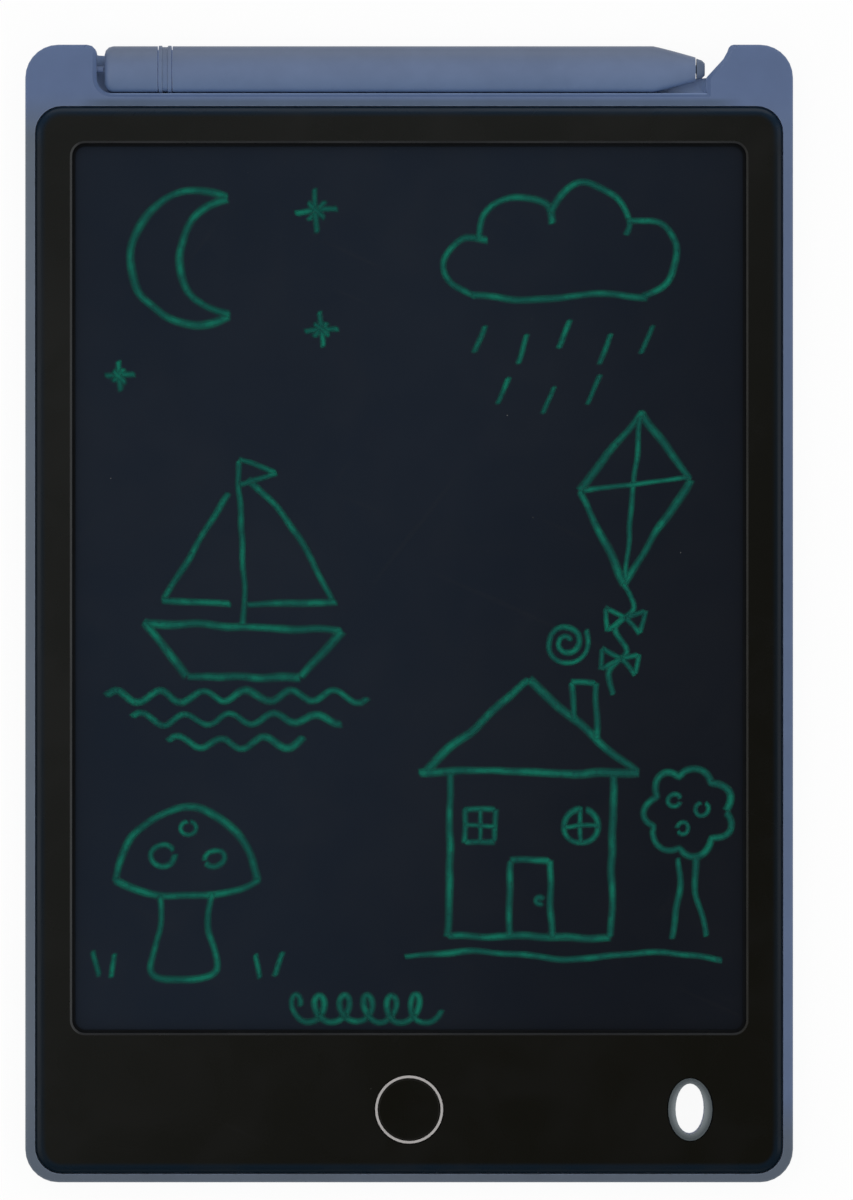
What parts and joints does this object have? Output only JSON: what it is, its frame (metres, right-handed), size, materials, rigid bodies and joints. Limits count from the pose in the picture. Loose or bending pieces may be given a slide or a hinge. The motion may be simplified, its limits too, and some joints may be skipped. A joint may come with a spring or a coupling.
{
  "type": "lcd writing tablet",
  "caption": "Slim writing tablet with a dark film in a black frame, a stylus in a trough along the top, an erase button, a lanyard hole and a lock slider on the back.",
  "frame": {"origin": "middle of the tablet's footprint, on the flat back that it lies on", "axes": "+X to the right when the film is seen upright, +Y towards the stylus edge, +Z out of the film"},
  "size_m": [0.1486, 0.2202, 0.007],
  "materials": {
    "slate_plastic": "fine satin moulded plastic, slate blue",
    "stylus_plastic": "satin moulded plastic, slate blue",
    "black_gloss": "glossy black moulded plastic",
    "film": "smooth dark navy film",
    "black_sheet": "matte black sheet",
    "silver_trim": "bright silver trim",
    "board": "green solder mask",
    "component_black": "moulded black plastic",
    "ceramic": "fired ceramic body",
    "steel": "plated steel",
    "contact_brass": "plated spring brass",
    "flex": "amber flexible film"
  },
  "bodies": {
    "tablet": {"rear_shell": "slate_plastic", "front_bezel": "black_gloss", "writing_film": "film", "film_tape": "black_sheet", "backing_plate": "black_sheet", "film_tail": "flex", "circuit_board": "board", "board_screw_left": "steel", "board_screw_right": "steel", "drive_chip": "component_black", "boost_inductor": "component_black", "capacitor_left": "ceramic", "capacitor_right": "ceramic", "push_switch_case": "component_black", "coin_cell": "steel", "battery_contact_upper": "contact_brass", "battery_contact_side": "contact_brass", "battery_cover": "slate_plastic", "battery_cover_screw": "steel", "lock_switch_case": "steel"},
    "stylus": {"stylus_barrel": "stylus_plastic", "stylus_band": "stylus_plastic", "stylus_end_cap": "stylus_plastic", "stylus_tip": "stylus_plastic"},
    "erase_button": {"erase_button": "black_gloss", "button_ring": "silver_trim", "push_switch_plunger": "ceramic"},
    "lock_slider": {"lock_slider": "component_black"}
  },
  "joints": [
    {"name": "stylus_lift", "type": "slide", "parent": "tablet", "child": "stylus", "axis": [0, 0, 1], "range_m": [0, 0.03]},
    {"name": "erase_press", "type": "slide", "parent": "tablet", "child": "erase_button", "axis": [0, 0, -1], "range_m": [0, 0.0005], "stiffness_N_per_m": 600},
    {"name": "lock_slide", "type": "slide", "parent": "tablet", "child": "lock_slider", "axis": [1, 0, 0], "range_m": [0, 0.003]}
  ]
}
